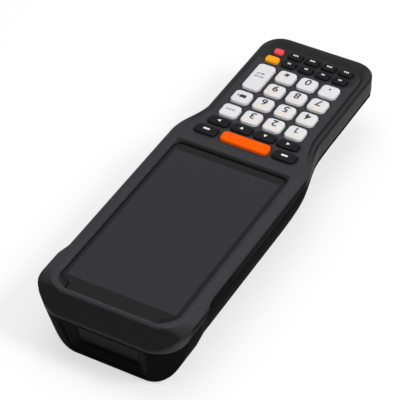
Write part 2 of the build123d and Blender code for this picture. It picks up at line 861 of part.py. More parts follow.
with BuildPart() as rear_housing:
    add(rear_outer)
    add(rear_form(housing_wall), mode=Mode.SUBTRACT)
    add(rear_ribs.part & rear_outer)
    add(door_hole, mode=Mode.SUBTRACT)
    add(box_between((-cavity_half, battery_tail_y - battery_gap, -cut_past),
                    (cavity_half, battery_nose_y + battery_gap, battery_top_z + battery_gap)),
        mode=Mode.SUBTRACT)
    add(crossbar(hinge_half, hinge_y, hinge_z, barrel_radius + barrel_gap), mode=Mode.SUBTRACT)
    add(box_between((-hinge_half, hinge_y, -cut_past),
                    (hinge_half, battery_tail_y, arm_top_z + barrel_end_gap)), mode=Mode.SUBTRACT)
    add(crossbar(ear_half + cut_past, hinge_y, hinge_z, door_pin_radius + pin_seat_clearance),
        mode=Mode.SUBTRACT)
    add(box_between((-lip_width / 2 - door_gap, battery_nose_y, -cut_past),
                    (lip_width / 2 + door_gap, door_nose_y + door_gap, lip_top_z + door_gap)),
        mode=Mode.SUBTRACT)
    add(box_between((-latch_width / 2 - latch_gap, door_nose_y, -cut_past),
                    (latch_width / 2 + latch_gap, latch_nose_y + latch_gap, latch_top_z + latch_gap)),
        mode=Mode.SUBTRACT)
    add(box_between((-latch_width / 2 - latch_flange - latch_gap, door_nose_y, latch_flange_z - latch_gap),
                    (latch_width / 2 + latch_flange + latch_gap, latch_nose_y + latch_gap,
                     latch_top_z + latch_gap)), mode=Mode.SUBTRACT)
    add(nose_prism(recess_section(-recess_past), recess_section(recess_depth)), mode=Mode.SUBTRACT)
    add(nose_prism(opening_section(recess_depth - cut_past, engine_width - 2 * engine_rim,
                                   engine_height - 2 * engine_rim),
                   opening_section(recess_depth + recess_wall + cut_past, engine_width - 2 * engine_rim,
                                   engine_height - 2 * engine_rim)), mode=Mode.SUBTRACT)
    for x, y in both_sides(screw_places):
        add(upright(x, y, well_radius, -cut_past, screw_seat_z), mode=Mode.SUBTRACT)
        add(upright(x, y, screw_hole_radius, screw_seat_z - cut_past, parting_z + cut_past), mode=Mode.SUBTRACT)
    add(upright(camera_x, camera_y, camera_window_radius + pane_gap, -cut_past,
                camera_window_z + camera_window_thickness), mode=Mode.SUBTRACT)
    add(upright(camera_x, camera_y, camera_hole_radius, -cut_past, housing_wall + fuse_depth),
        mode=Mode.SUBTRACT)
    for step in range(speaker_slots):
        slot_y = speaker_y + (step - (speaker_slots - 1) / 2) * speaker_slot_pitch
        add(box_between((-speaker_slot_width / 2, slot_y - speaker_slot / 2, grip_belly_z - cut_past),
                        (speaker_slot_width / 2, slot_y + speaker_slot / 2, inner_belly_z + fuse_depth)),
            mode=Mode.SUBTRACT)
    add(slab(dock_width + 2 * pane_gap, dock_length + 2 * pane_gap, dock_corner_radius + pane_gap, 0, dock_y,
             grip_belly_z - cut_past, inner_belly_z + fuse_depth), mode=Mode.SUBTRACT)
    add(seal_ring.part, mode=Mode.SUBTRACT)
    add(port_cut.part, mode=Mode.SUBTRACT)

# ---- battery door: follows the back's curve, with its barrel, arms and lip
arm_nose_y = door_tail_y + 2 * door_thickness
with BuildPart() as battery_door:
    add(slab(door_width, door_length, door_corner_radius, 0, door_middle_y, -cut_past, hinge_z + 2 * door_gap)
        & (rear_outer - rear_form(door_thickness)))
    add(crossbar(door_width, hinge_y, hinge_z, edge_sweep_radius), mode=Mode.SUBTRACT)
    add(box_between((-barrel_length / 2, hinge_y, hinge_z - barrel_radius),
                    (barrel_length / 2, arm_nose_y, arm_top_z)))
    add(crossbar(barrel_length / 2, hinge_y, hinge_z, barrel_radius))
    add(box_between((-lip_width / 2, door_nose_y - lip_length, door_thickness / 2),
                    (lip_width / 2, door_nose_y, lip_top_z)))
    add(box_between((-tongue_width / 2 - latch_gap, lip_relief_y, -cut_past),
                    (tongue_width / 2 + latch_gap, door_nose_y + cut_past, lip_bottom_z)), mode=Mode.SUBTRACT)
    add(crossbar(door_width, hinge_y, hinge_z, door_pin_radius + door_pin_clearance), mode=Mode.SUBTRACT)

with BuildPart() as door_pin:
    add(crossbar(ear_half - 2 * door_gap, hinge_y, hinge_z, door_pin_radius))

with BuildPart() as battery_latch:
    add(box_between((-latch_width / 2, latch_y - latch_length / 2, latch_low_z),
                    (latch_width / 2, latch_nose_y, latch_top_z)))
    add(box_between((-latch_width / 2 - latch_flange, latch_y - latch_length / 2, latch_flange_z),
                    (latch_width / 2 + latch_flange, latch_nose_y, latch_top_z)))
    add(box_between((-tongue_width / 2, tongue_tip_y, latch_low_z),
                    (tongue_width / 2, latch_y, latch_low_z + tongue_thickness)))
    for step in range(groove_count):
        groove_y = latch_y + (step - (groove_count - 1) / 2) * groove_pitch
        add(box_between((-latch_width / 2, groove_y - groove_width / 2, latch_low_z - cut_past),
                        (latch_width / 2, groove_y + groove_width / 2, latch_low_z + groove_depth)),
            mode=Mode.SUBTRACT)

with BuildPart() as battery:
    add(box_between((-battery_width / 2, battery_tail_y, battery_bottom_z),
                    (battery_width / 2, battery_nose_y, battery_top_z)))
    fillet(battery.edges().filter_by(Axis.Y).group_by(Axis.Z)[0], battery_edge_radius)

# ---- display stack
with BuildPart() as display_glass:
    extrude(glass_outline(glass_bottom_z), amount=glass_thickness)

with BuildPart() as display_gasket:
    extrude(glass_outline(gasket_bottom_z, -glass_gap, -glass_gap), amount=gasket_thickness)
    add(box_between((-display_width / 2 - display_gap, display_tail_y - display_gap, gasket_bottom_z - skim),
                    (display_width / 2 + display_gap, display_nose_y + display_gap, glass_bottom_z + skim)),
        mode=Mode.SUBTRACT)

display_middle_y = (display_tail_y + display_nose_y) / 2
with BuildPart() as display_module:
    add(slab(display_width, display_nose_y - display_tail_y, 2 * display_gap, 0, display_middle_y,
             display_bottom_z, display_top_z))

with BuildPart() as chassis_plate:
    add(slab(chassis_width, chassis_nose_y - chassis_tail_y, chassis_corner_radius, 0,
             (chassis_nose_y + chassis_tail_y) / 2, chassis_low_z, chassis_top_z))

# ---- boards
with BuildPart() as main_board:
    add(slab(main_board_width, main_board_nose_y - chassis_tail_y, main_board_corner_radius, 0,
             (main_board_nose_y + chassis_tail_y) / 2, main_board_z, main_board_z + main_board_thickness))

board_middle_y = (board_tail_y + board_nose_y) / 2
board_length = board_nose_y - board_tail_y
with BuildPart() as keypad_board:
    add(slab(board_width, board_length, board_corner_radius, 0, board_middle_y, keypad_board_low_z, shelf_z))

with BuildPart() as keypad_mat:
    add(slab(mat_width, board_length, mat_corner_radius, 0, board_middle_y, shelf_z, mat_top_z))

# ---- scanner
scan_low_z = scan_opening_z - engine_height / 2
scan_high_z = scan_opening_z + engine_height / 2
with BuildPart() as scan_engine:
    add(side_profile([(engine_tail_y, scan_low_z), (face_y(scan_low_z, recess_depth + recess_wall), scan_low_z),
                      (face_y(scan_high_z, recess_depth + recess_wall), scan_high_z),
                      (engine_tail_y, scan_high_z)], engine_width / 2))

pane_back = recess_depth - pane_gap
pane_front = pane_back - pane_thickness
pane_width = scan_opening_width + 2 * pane_overlap
pane_height = scan_opening_height + 2 * pane_overlap
with BuildPart() as scan_window:
    add(nose_prism(opening_section(pane_front, pane_width, pane_height),
                   opening_section(pane_back, pane_width, pane_height)))

with BuildPart() as scan_window_frame:
    add(nose_prism(recess_section(frame_setback, -frame_gap), recess_section(recess_depth, -frame_gap)))
    add(nose_prism(recess_section(frame_setback - frame_gap, -funnel_rim),
                   opening_section(pane_front + frame_gap, scan_opening_width, scan_opening_height)),
        mode=Mode.SUBTRACT)
    add(nose_prism(opening_section(pane_front, pane_width + 2 * pane_gap, pane_height + 2 * pane_gap),
                   opening_section(recess_depth + cut_past, pane_width + 2 * pane_gap,
                                   pane_height + 2 * pane_gap)),
        mode=Mode.SUBTRACT)

# ---- side triggers and port
with BuildPart() as trigger_right:
    add(side_plate(trigger_inner_x, flange_outer_x, trigger_y, trigger_z, trigger_length + 2 * trigger_flange,
                   trigger_height + 2 * trigger_flange, trigger_corner_radius))
    add(side_plate(flange_outer_x, side_half + trigger_proud, trigger_y, trigger_z, trigger_length,
                   trigger_height, trigger_corner_radius))
    fillet(trigger_right.faces().sort_by(Axis.X)[-1].edges(), trigger_proud / 2)

with BuildPart() as trigger_left:
    add(mirror(trigger_right.part, about=Plane.YZ))

with BuildPart() as port_cover:
    add(box_between((port_face_x - port_cover_thickness, port_axis_y, port_z - port_half),
                    (port_face_x, port_y + port_length / 2, port_z + port_half)))
    add(upright(port_axis_x, port_axis_y, port_barrel_radius, port_z - port_half, port_z + port_half))
    add(upright(port_axis_x, port_axis_y, port_pin_radius, port_z - port_half - port_pin_length,
                port_z + port_half + port_pin_length))

board_top_z = main_board_z + main_board_thickness
connector_face_x = port_rebate_x - port_gap
connector_back_x = connector_face_x - connector_depth
connector_z = board_top_z + connector_height / 2
with BuildPart() as port_connector:
    add(side_plate(connector_back_x, connector_face_x, port_y, connector_z, connector_length, connector_height,
                   connector_radius))
    add(side_plate(connector_back_x + 2 * connector_shell, connector_face_x + cut_past, port_y, connector_z,
                   connector_length - 2 * connector_shell, connector_height - 2 * connector_shell,
                   connector_radius - connector_shell), mode=Mode.SUBTRACT)
    add(box_between((connector_back_x, port_y - connector_length / 3, connector_z - connector_tongue / 2),
                    (connector_face_x - 2 * connector_shell, port_y + connector_length / 3,
                     connector_z + connector_tongue / 2)))

# ---- small parts
with BuildPart() as dock_connector:
    add(slab(dock_width, dock_length, dock_corner_radius, 0, dock_y, grip_belly_z + dock_setback,
             grip_belly_z + dock_setback + dock_height))
    add(slab(dock_width + 2 * dock_flange, dock_length + 2 * dock_flange, dock_corner_radius, 0, dock_y,
             inner_belly_z, inner_belly_z + dock_flange))

with BuildPart() as speaker:
    add(slab(speaker_width, speaker_length, speaker_corner_radius, 0, speaker_y, inner_belly_z,
             inner_belly_z + speaker_height))

with BuildPart() as vibration_motor:
    add(slab(motor_length + 2 * motor_base_margin, 2 * motor_radius + motor_base_margin, motor_base_radius,
             motor_x, motor_y, keypad_board_low_z - motor_base, keypad_board_low_z))
    with BuildSketch(Plane.YZ.offset(motor_x - motor_length / 2)):
        with Locations((motor_y, keypad_board_low_z - motor_base / 2 - motor_radius)):
            Circle(motor_radius)
    extrude(amount=motor_length)

with BuildPart() as camera_module:
    add(slab(camera_size, camera_size, camera_corner_radius, camera_x, camera_y, housing_wall,
             housing_wall + camera_height))

with BuildPart() as camera_window:
    add(upright(camera_x, camera_y, camera_window_radius, camera_window_z,
                camera_window_z + camera_window_thickness))

with BuildPart() as antenna:
    add(slab(antenna_width, antenna_length, antenna_corner_radius, 0, antenna_y,
             chassis_low_z - antenna_thickness, chassis_low_z))

with BuildPart() as housing_seal:
    add(seal_ring.part)

with BuildPart() as housing_screws:
    for x, y in both_sides(screw_places):
        add(upright(x, y, screw_shank_radius, screw_seat_z, screw_tip_z))
        add(upright(x, y, screw_head_radius, screw_seat_z - screw_head_height, screw_seat_z))
        with BuildSketch(Plane.XY.offset(screw_seat_z - screw_head_height)):
            with Locations((x, y)):
                RegularPolygon(screw_socket_radius, 6)
        extrude(amount=screw_socket_depth, mode=Mode.SUBTRACT)

# ---- names and files
os.makedirs("parts", exist_ok=True)
for name, size in keys.items():
    cap = keycap(*size)
    cap.label = name
    export_step(cap, "parts/" + name + ".step")

pieces = {
    "front_housing": front_housing,
    "rear_housing": rear_housing,
    "battery_door": battery_door,
    "door_pin": door_pin,
    "battery_latch": battery_latch,
    "battery": battery,
    "display_glass": display_glass,
    "display_gasket": display_gasket,
    "display_module": display_module,
    "chassis_plate": chassis_plate,
    "main_board": main_board,
    "keypad_board": keypad_board,
    "keypad_mat": keypad_mat,
    "scan_engine": scan_engine,
    "scan_window": scan_window,
    "scan_window_frame": scan_window_frame,
    "trigger_left": trigger_left,
    "trigger_right": trigger_right,
    "port_cover": port_cover,
    "port_connector": port_connector,
    "dock_connector": dock_connector,
    "speaker": speaker,
    "vibration_motor": vibration_motor,
    "camera_module": camera_module,
    "camera_window": camera_window,
    "antenna": antenna,
    "housing_seal": housing_seal,
    "housing_screws": housing_screws,
}
for name, piece in pieces.items():
    piece.part.label = name
    export_step(piece.part, "parts/" + name + ".step")
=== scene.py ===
import math

import bmesh
import bpy
from mathutils import Matrix, Vector

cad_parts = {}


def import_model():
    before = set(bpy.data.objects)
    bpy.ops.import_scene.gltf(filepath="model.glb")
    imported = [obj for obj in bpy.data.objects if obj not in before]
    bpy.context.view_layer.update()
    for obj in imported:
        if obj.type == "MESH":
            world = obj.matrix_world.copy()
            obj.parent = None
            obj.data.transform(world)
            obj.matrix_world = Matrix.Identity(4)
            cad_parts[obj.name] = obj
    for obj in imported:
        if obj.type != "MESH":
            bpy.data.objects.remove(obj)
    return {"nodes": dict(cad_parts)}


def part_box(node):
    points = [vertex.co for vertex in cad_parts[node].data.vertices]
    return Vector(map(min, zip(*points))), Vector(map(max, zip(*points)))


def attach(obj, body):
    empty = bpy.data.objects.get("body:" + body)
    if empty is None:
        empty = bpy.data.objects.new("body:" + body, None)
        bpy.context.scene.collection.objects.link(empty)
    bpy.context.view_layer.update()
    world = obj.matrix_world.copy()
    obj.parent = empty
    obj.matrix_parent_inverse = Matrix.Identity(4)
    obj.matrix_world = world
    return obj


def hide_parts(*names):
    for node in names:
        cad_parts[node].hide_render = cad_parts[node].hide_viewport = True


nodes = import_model()["nodes"]
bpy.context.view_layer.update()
print("frame loaded,", len(nodes), "nodes")

mm = 0.001  # the pieces are written in millimetres and scaled once


# helpers
def linearColor(hexText):
    # sRGB hex to the linear values that a shader wants
    channels = [int(hexText[i:i + 2], 16) / 255 for i in (0, 2, 4)]
    return tuple(c / 12.92 if c <= 0.04045 else ((c + 0.055) / 1.055) ** 2.4 for c in channels) + (1.0,)


def addNode(tree, kind, inputs=None, links=None, **settings):
    # one node with its settings, its fixed inputs and the sockets that feed it
    node = tree.nodes.new(kind)
    for name, value in settings.items():
        setattr(node, name, value)
    for name, value in (inputs or {}).items():
        node.inputs[name].default_value = value
    for name, source in (links or {}).items():
        tree.links.new(source, node.inputs[name])
    return node


def newMaterial(name):
    material = bpy.data.materials.new(name)
    material.use_nodes = True
    tree = material.node_tree
    tree.nodes.clear()
    surface = addNode(tree, "ShaderNodeBsdfPrincipled")
    addNode(tree, "ShaderNodeOutputMaterial", links={"Surface": surface.outputs["BSDF"]})
    place = addNode(tree, "ShaderNodeTexCoord").outputs["Object"]
    return material, tree, surface, place


def paint(material, *names):
    for name in names:
        slots = nodes[name].data.materials
        slots.clear()
        slots.append(material)


def finishPiece(name, data, material, body, slotName, *replaced):
    # a mesh in its place becomes a piece that rides on a body
    piece = bpy.data.objects.new(name, data)
    bpy.context.scene.collection.objects.link(piece)
    data.materials.clear()
    data.materials.append(material)
    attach(piece, body)
    if replaced:
        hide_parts(*replaced)


def meshFrom(builder, name):
    data = bpy.data.meshes.new(name)
    builder.to_mesh(data)
    builder.free()
    return data


def zoneMask(tree, place, zone, soft):
    # 1 inside a zone given by its reach across (both sides alike) and along the body, fading over soft
    spot = addNode(tree, "ShaderNodeSeparateXYZ", links={"Vector": place})
    across = addNode(tree, "ShaderNodeMath", links={0: spot.outputs["X"]}, operation="ABSOLUTE").outputs[0]
    along = spot.outputs["Y"]
    mask = None
    for source, edge, way in zip((across, across, along, along), zone, (-1, 1, -1, 1)):
        side = addNode(tree, "ShaderNodeMapRange",
                       {"From Min": (edge + way * soft) * mm, "From Max": edge * mm},
                       {"Value": source}).outputs[0]
        mask = side if mask is None else addNode(tree, "ShaderNodeMath", links={0: mask, 1: side},
                                                 operation="MULTIPLY").outputs[0]
    return mask


def pastOutline(tree, place, halfWidth, end, radius):
    # distance outside a rounded nose outline given by its half width, its end and its corner radius
    spot = addNode(tree, "ShaderNodeSeparateXYZ", links={"Vector": place})
    across = addNode(tree, "ShaderNodeMath", links={0: spot.outputs["X"]}, operation="ABSOLUTE")
    corner = addNode(tree, "ShaderNodeCombineXYZ")
    for axis, source, edge in (("X", across.outputs[0], halfWidth), ("Y", spot.outputs["Y"], end)):
        past = addNode(tree, "ShaderNodeMath", {1: (edge - radius) * mm}, {0: source}, operation="SUBTRACT")
        beyond = addNode(tree, "ShaderNodeMath", {1: 0.0}, {0: past.outputs[0]}, operation="MAXIMUM")
        tree.links.new(beyond.outputs[0], corner.inputs[axis])
    reach = addNode(tree, "ShaderNodeVectorMath", links={0: corner.outputs[0]}, operation="LENGTH")
    past = addNode(tree, "ShaderNodeMath", {1: radius * mm}, {0: reach.outputs["Value"]},
                   operation="SUBTRACT")
    return past.outputs[0], spot.outputs["Y"]


def paintedShade(tree, place, shadeLook):
    # painted shade: the walls under the rim, the nose outside its ridge, the well of the glass and the tail are
    # painted darker where shade falls
    def fadeIn(source, start, end):
        return addNode(tree, "ShaderNodeMapRange", {"From Min": start * mm, "From Max": end * mm},
                       {"Value": source}).outputs["Result"]

    def product(first, second):
        return addNode(tree, "ShaderNodeMath", links={0: first, 1: second}, operation="MULTIPLY").outputs[0]

    height = addNode(tree, "ShaderNodeSeparateXYZ", links={"Vector": place}).outputs["Z"]
    walls = fadeIn(height, *shadeLook["wall"])
    past, along = pastOutline(tree, place, *shadeLook["ridge"])
    nose = product(fadeIn(past, 0.0, shadeLook["soft"]), fadeIn(along, *shadeLook["fade"]))
    past, along = pastOutline(tree, place, *shadeLook["well"])
    tailEdge = shadeLook["wellTail"]
    well = product(fadeIn(past, 0.0, -shadeLook["soft"]), fadeIn(along, tailEdge, tailEdge + shadeLook["soft"]))
    tail = addNode(tree, "ShaderNodeMath", {1: shadeLook["tailShare"]},
                   {0: zoneMask(tree, place, shadeLook["tail"], shadeLook["tailSoft"])}, operation="MULTIPLY")
    return walls, nose, well, tail.outputs[0]


# moulded plastics: what all of them share, from the bend where wear and the painted edge highlight start to the
# spread of the gloss
skinLook = {"flatBend": 0.995, "sharpBend": 0.9, "polish": 0.2, "spread": 0.06, "relief": 0.3,
            "grainLow": 0.3, "grainHigh": 0.7, "edgeSamples": 8, "rimSamples": 6, "detail": 3.0}


def mouldedPlastic(name, look, shadeLook=None):
    # a spark-eroded mould leaves a fine pebble that spreads the highlights, and hands polish the edges; the
    # lighter edge colour stands for wear and also for a painted highlight
    material, tree, surface, place = newMaterial(name)
    grain, cloud = [addNode(tree, "ShaderNodeTexNoise",
                            {"Scale": 1 / (look[size] * mm), "Detail": skinLook["detail"]}, {"Vector": place})
                    for size in ("grain", "cloud")]
    tone = addNode(tree, "ShaderNodeMix", {6: linearColor(look["dark"]), 7: linearColor(look["light"])},
                   {0: cloud.outputs["Fac"]}, data_type="RGBA")
    edge = addNode(tree, "ShaderNodeBevel", {"Radius": look["edge"] * mm}, samples=skinLook["edgeSamples"])
    rim = addNode(tree, "ShaderNodeBevel", {"Radius": look["rim"] * mm}, samples=skinLook["rimSamples"])
    flat = addNode(tree, "ShaderNodeNewGeometry")
    bend = addNode(tree, "ShaderNodeVectorMath", links={0: rim.outputs["Normal"], 1: flat.outputs["Normal"]},
                   operation="DOT_PRODUCT")
    rub = addNode(tree, "ShaderNodeMapRange",
                  {"From Min": skinLook["flatBend"], "From Max": skinLook["sharpBend"], "To Max": look["wearAndSheen"]},
                  {"Value": bend.outputs["Value"]})
    rubbedAndSheen = addNode(tree, "ShaderNodeMath", links={0: rub.outputs["Result"], 1: cloud.outputs["Fac"]},
                     operation="MULTIPLY")
    wornAndSheen = addNode(tree, "ShaderNodeMix", {7: linearColor(look["wornAndSheen"])},
                   {0: rubbedAndSheen.outputs[0], 6: tone.outputs[2]}, data_type="RGBA")
    skin = wornAndSheen.outputs[2]
    surface.inputs["Specular IOR Level"].default_value = look["specular"]
    if shadeLook:
        shadeMasks = paintedShade(tree, place, shadeLook)
        # each mask of painted shade mixes the skin towards the near-black shade colour
        for mask in shadeMasks:
            skin = addNode(tree, "ShaderNodeMix", {7: linearColor(shadeLook["color"])}, {0: mask, 6: skin},
                           data_type="RGBA").outputs[2]
        # the long walls beside the glass were moulded against a coarser, duller face of the tool
        coarse = addNode(tree, "ShaderNodeMath",
                         links={0: shadeMasks[0], 1: zoneMask(tree, place, shadeLook["coarse"], shadeLook["coarseSoft"])},
                         operation="MULTIPLY")
        dull = addNode(tree, "ShaderNodeMapRange", {"To Min": look["specular"], "To Max": shadeLook["specular"]},
                       {"Value": coarse.outputs[0]})
        tree.links.new(dull.outputs["Result"], surface.inputs["Specular IOR Level"])
    rough = addNode(tree, "ShaderNodeMapRange",
                    {"From Min": skinLook["grainLow"], "From Max": skinLook["grainHigh"],
                     "To Min": look["rough"] - skinLook["spread"],
                     "To Max": look["rough"] + skinLook["spread"]},
                    {"Value": grain.outputs["Fac"]})
    polish = addNode(tree, "ShaderNodeMath", {1: skinLook["polish"]}, {0: rubbedAndSheen.outputs[0]},
                     operation="MULTIPLY")
    finish = addNode(tree, "ShaderNodeMath", links={0: rough.outputs["Result"], 1: polish.outputs[0]},
                     operation="SUBTRACT")
    bump = addNode(tree, "ShaderNodeBump",
                   {"Strength": look["bump"], "Distance": look["grain"] * skinLook["relief"] * mm},
                   {"Height": grain.outputs["Fac"], "Normal": edge.outputs["Normal"]})
    tree.links.new(skin, surface.inputs["Base Color"])
    tree.links.new(finish.outputs[0], surface.inputs["Roughness"])
    tree.links.new(bump.outputs["Normal"], surface.inputs["Normal"])
    surface.inputs["IOR"].default_value = look["ior"]
    return material


# the pebble of the mould is about 0.1 mm across, drawn at 0.5 mm so that it shows
# the front's light edge colour is partly wear and partly a painted highlight along its ridges
frontLook = {"dark": "2c2c2e", "light": "343436", "wornAndSheen": "58585b", "wearAndSheen": 0.9, "rough": 0.55, "grain": 0.5,
             "cloud": 24.0, "bump": 0.4, "edge": 2.6, "rim": 0.4, "ior": 1.5, "specular": 0.2}
# painted shade on the front, a near-black colour laid where shade falls: heights and places are millimetres of
# the body, the ridge and the well are half width, end and corner radius, and the coarse and tail zones run
# across from, to and along from, to
frontShade = {"color": "0d0d0e", "specular": 0.01, "soft": 0.7, "wall": (34.1, 33.0),
             "coarse": (28.0, 60.0, -20.0, 92.0), "coarseSoft": 6.0,
             "ridge": (32.8, 99.6, 11.0), "fade": (89.0, 99.5), "well": (29.4, 97.8, 8.0), "wellTail": -13.2,
             "tail": (-5.0, 24.0, -103.0, -86.0), "tailSoft": 2.0, "tailShare": 0.55}
paint(mouldedPlastic("Black textured ABS", frontLook, frontShade), "front_housing")
# the back half is a duller glass-filled grade that gives almost no highlight
rearLook = {"dark": "060607", "light": "0a0a0b", "wornAndSheen": "262628", "wearAndSheen": 0.5, "rough": 0.75, "grain": 0.6,
            "cloud": 24.0, "bump": 0.45, "edge": 1.2, "rim": 0.4, "ior": 1.5, "specular": 0.02}
paint(mouldedPlastic("Black glass-filled polycarbonate", rearLook), "rear_housing", "battery_door",
      "trigger_left", "trigger_right")
# acetal is waxy: it slides without grease and looks a little greyer
latchLook = {"dark": "1f1f22", "light": "27272a", "wornAndSheen": "3a3a3d", "wearAndSheen": 0.7, "rough": 0.42, "grain": 0.4,
             "cloud": 10.0, "bump": 0.15, "edge": 0.4, "rim": 0.25, "ior": 1.48, "specular": 0.35}
paint(mouldedPlastic("Black acetal", latchLook), "battery_latch")
# inside the scanner's funnel the plastic is kept matt so that no light strays back
funnelLook = {"dark": "0a0a0b", "light": "101011", "wornAndSheen": "1c1c1d", "wearAndSheen": 0.3, "rough": 0.7, "grain": 0.5,
              "cloud": 12.0, "bump": 0.3, "edge": 0.4, "rim": 0.25, "ior": 1.5, "specular": 0.04}
paint(mouldedPlastic("Matt black polycarbonate", funnelLook), "scan_window_frame", "scan_engine",
      "camera_module", "speaker", "dock_connector")
# the pack and the panel's carrier are plain mouldings with a smoother skin
packLook = {"dark": "1c1c1f", "light": "232327", "wornAndSheen": "333336", "wearAndSheen": 0.4, "rough": 0.4, "grain": 0.8,
            "cloud": 15.0, "bump": 0.12, "edge": 0.5, "rim": 0.3, "ior": 1.55, "specular": 0.5}
paint(mouldedPlastic("Battery case polycarbonate", packLook), "battery", "display_module")

# double-shot keycaps: colour runs through the plastic, the moulded skin is satin and even
capBase = {"wearAndSheen": 0.25, "rough": 0.5, "grain": 0.4, "cloud": 9.0, "bump": 0.1, "edge": 0.25, "rim": 0.2,
           "ior": 1.52, "specular": 0.1}
capTones = {"White": {"dark": "d2d2d4", "light": "d8d8d9", "wornAndSheen": "e2e2e2"},
            "Charcoal": {"dark": "141416", "light": "1a1a1c", "wornAndSheen": "2c2c2e"},
            "Orange": {"dark": "f45400", "light": "fa5c00", "wornAndSheen": "fc7a2c", "specular": 0.04},
            "Amber": {"dark": "ee9808", "light": "f4a010", "wornAndSheen": "f6b23c"},
            "Red": {"dark": "e2464e", "light": "ea525a", "wornAndSheen": "f07a80"}}
whiteCap, darkCap, orangeCap, amberCap, redCap = [
    mouldedPlastic(name + " double-shot ABS", {**capBase, **tones}) for name, tones in capTones.items()]


# rubbers
rubberSkin = {"detail": 4.0, "bump": 0.2}


def mouldedRubber(name, look):
    # dull, with a slight bloom that lifts the grazing light
    material, tree, surface, place = newMaterial(name)
    dust = addNode(tree, "ShaderNodeTexNoise",
                   {"Scale": 1 / (look["dust"] * mm), "Detail": rubberSkin["detail"]}, {"Vector": place})
    tone = addNode(tree, "ShaderNodeMix", {6: linearColor(look["dark"]), 7: linearColor(look["light"])},
                   {0: dust.outputs["Fac"]}, data_type="RGBA")
    bump = addNode(tree, "ShaderNodeBump", {"Strength": rubberSkin["bump"], "Distance": look["relief"] * mm},
                   {"Height": dust.outputs["Fac"]})
    tree.links.new(tone.outputs[2], surface.inputs["Base Color"])
    tree.links.new(bump.outputs["Normal"], surface.inputs["Normal"])
    surface.inputs["Roughness"].default_value = look["rough"]
    surface.inputs["IOR"].default_value = look["ior"]
    surface.inputs["Sheen Weight"].default_value = look["bloom"]
    return material


# silicone cord is cured in a smooth mould and stays dull black
sealLook = {"dark": "0d0d0d", "light": "141414", "rough": 0.8, "dust": 1.5, "relief": 0.1, "ior": 1.41,
            "bloom": 0.1}
paint(mouldedRubber("Black silicone rubber", sealLook), "display_gasket", "housing_seal")
# elastomer is injected like a plastic, so it is a little glossier and greyer than silicone
coverLook = {"dark": "151517", "light": "1c1c1e", "rough": 0.68, "dust": 1.0, "relief": 0.1, "ior": 1.5,
             "bloom": 0.12}
paint(mouldedRubber("Black thermoplastic elastomer", coverLook), "port_cover")
# a pressed mat keeps some of its release powder, which greys it
matLook = {"dark": "2c2d30", "light": "37383b", "rough": 0.75, "dust": 2.0, "relief": 0.15, "ior": 1.41,
           "bloom": 0.15}
paint(mouldedRubber("Grey keypad silicone", matLook), "keypad_mat")


# metals
metalSkin = {"detail": 4.0, "bump": 0.15, "relief": 0.1, "spread": 0.08}


def workedMetal(name, look):
    # drawn, rolled or plated metal: streaks along one axis from the tool
    material, tree, surface, place = newMaterial(name)
    stretch = addNode(tree, "ShaderNodeMapping", {"Scale": look["stretch"]}, {"Vector": place})
    streak = addNode(tree, "ShaderNodeTexNoise",
                     {"Scale": 1 / (look["streak"] * mm), "Detail": metalSkin["detail"]},
                     {"Vector": stretch.outputs["Vector"]})
    tone = addNode(tree, "ShaderNodeMix", {6: linearColor(look["dark"]), 7: linearColor(look["light"])},
                   {0: streak.outputs["Fac"]}, data_type="RGBA")
    rough = addNode(tree, "ShaderNodeMapRange",
                    {"To Min": look["rough"] - metalSkin["spread"],
                     "To Max": look["rough"] + metalSkin["spread"]},
                    {"Value": streak.outputs["Fac"]})
    bump = addNode(tree, "ShaderNodeBump",
                   {"Strength": metalSkin["bump"], "Distance": look["streak"] * mm * metalSkin["relief"]},
                   {"Height": streak.outputs["Fac"]})
    tree.links.new(tone.outputs[2], surface.inputs["Base Color"])
    tree.links.new(rough.outputs["Result"], surface.inputs["Roughness"])
    tree.links.new(bump.outputs["Normal"], surface.inputs["Normal"])
    surface.inputs["Metallic"].default_value = 1.0
    return material


# mill rolls leave long soft streaks along the sheet
chassisLook = {"dark": "a9abad", "light": "c3c5c7", "rough": 0.4, "streak": 0.6, "stretch": (1, 0.05, 1)}
paint(workedMetal("Rolled aluminium plate", chassisLook), "chassis_plate")
# drawn and then ground to size, which leaves fine lines along the pin and a bright highlight
pinLook = {"dark": "a0a0a2", "light": "bcbcbe", "rough": 0.25, "streak": 0.3, "stretch": (0.1, 1, 1)}
paint(workedMetal("Ground stainless steel", pinLook), "door_pin", "vibration_motor")
# nickel plate is even and slightly warm
shellLook = {"dark": "b0b0ae", "light": "cfcfcc", "rough": 0.22, "streak": 0.5, "stretch": (1, 0.3, 1)}
paint(workedMetal("Nickel-plated steel", shellLook), "port_connector")
# blackened zinc hides the screws and only glints on their rims
screwSkin = {"dark": "2e2e30", "light": "404042", "rough": 0.36, "streak": 0.3, "stretch": (1, 1, 0.3)}
screwMetal = workedMetal("Black zinc-plated steel", screwSkin)
# the docking spring wipes the gold and leaves it soft and bright
goldSkin = {"dark": "c9a04e", "light": "e0bb6a", "rough": 0.24, "streak": 0.4, "stretch": (1, 0.3, 1)}
goldPlate = workedMetal("Gold plate over nickel", goldSkin)


# boards and film
boardSkin = {"gapEnd": 0.35, "trackStart": 0.45, "bump": 0.3, "coat": 0.3}


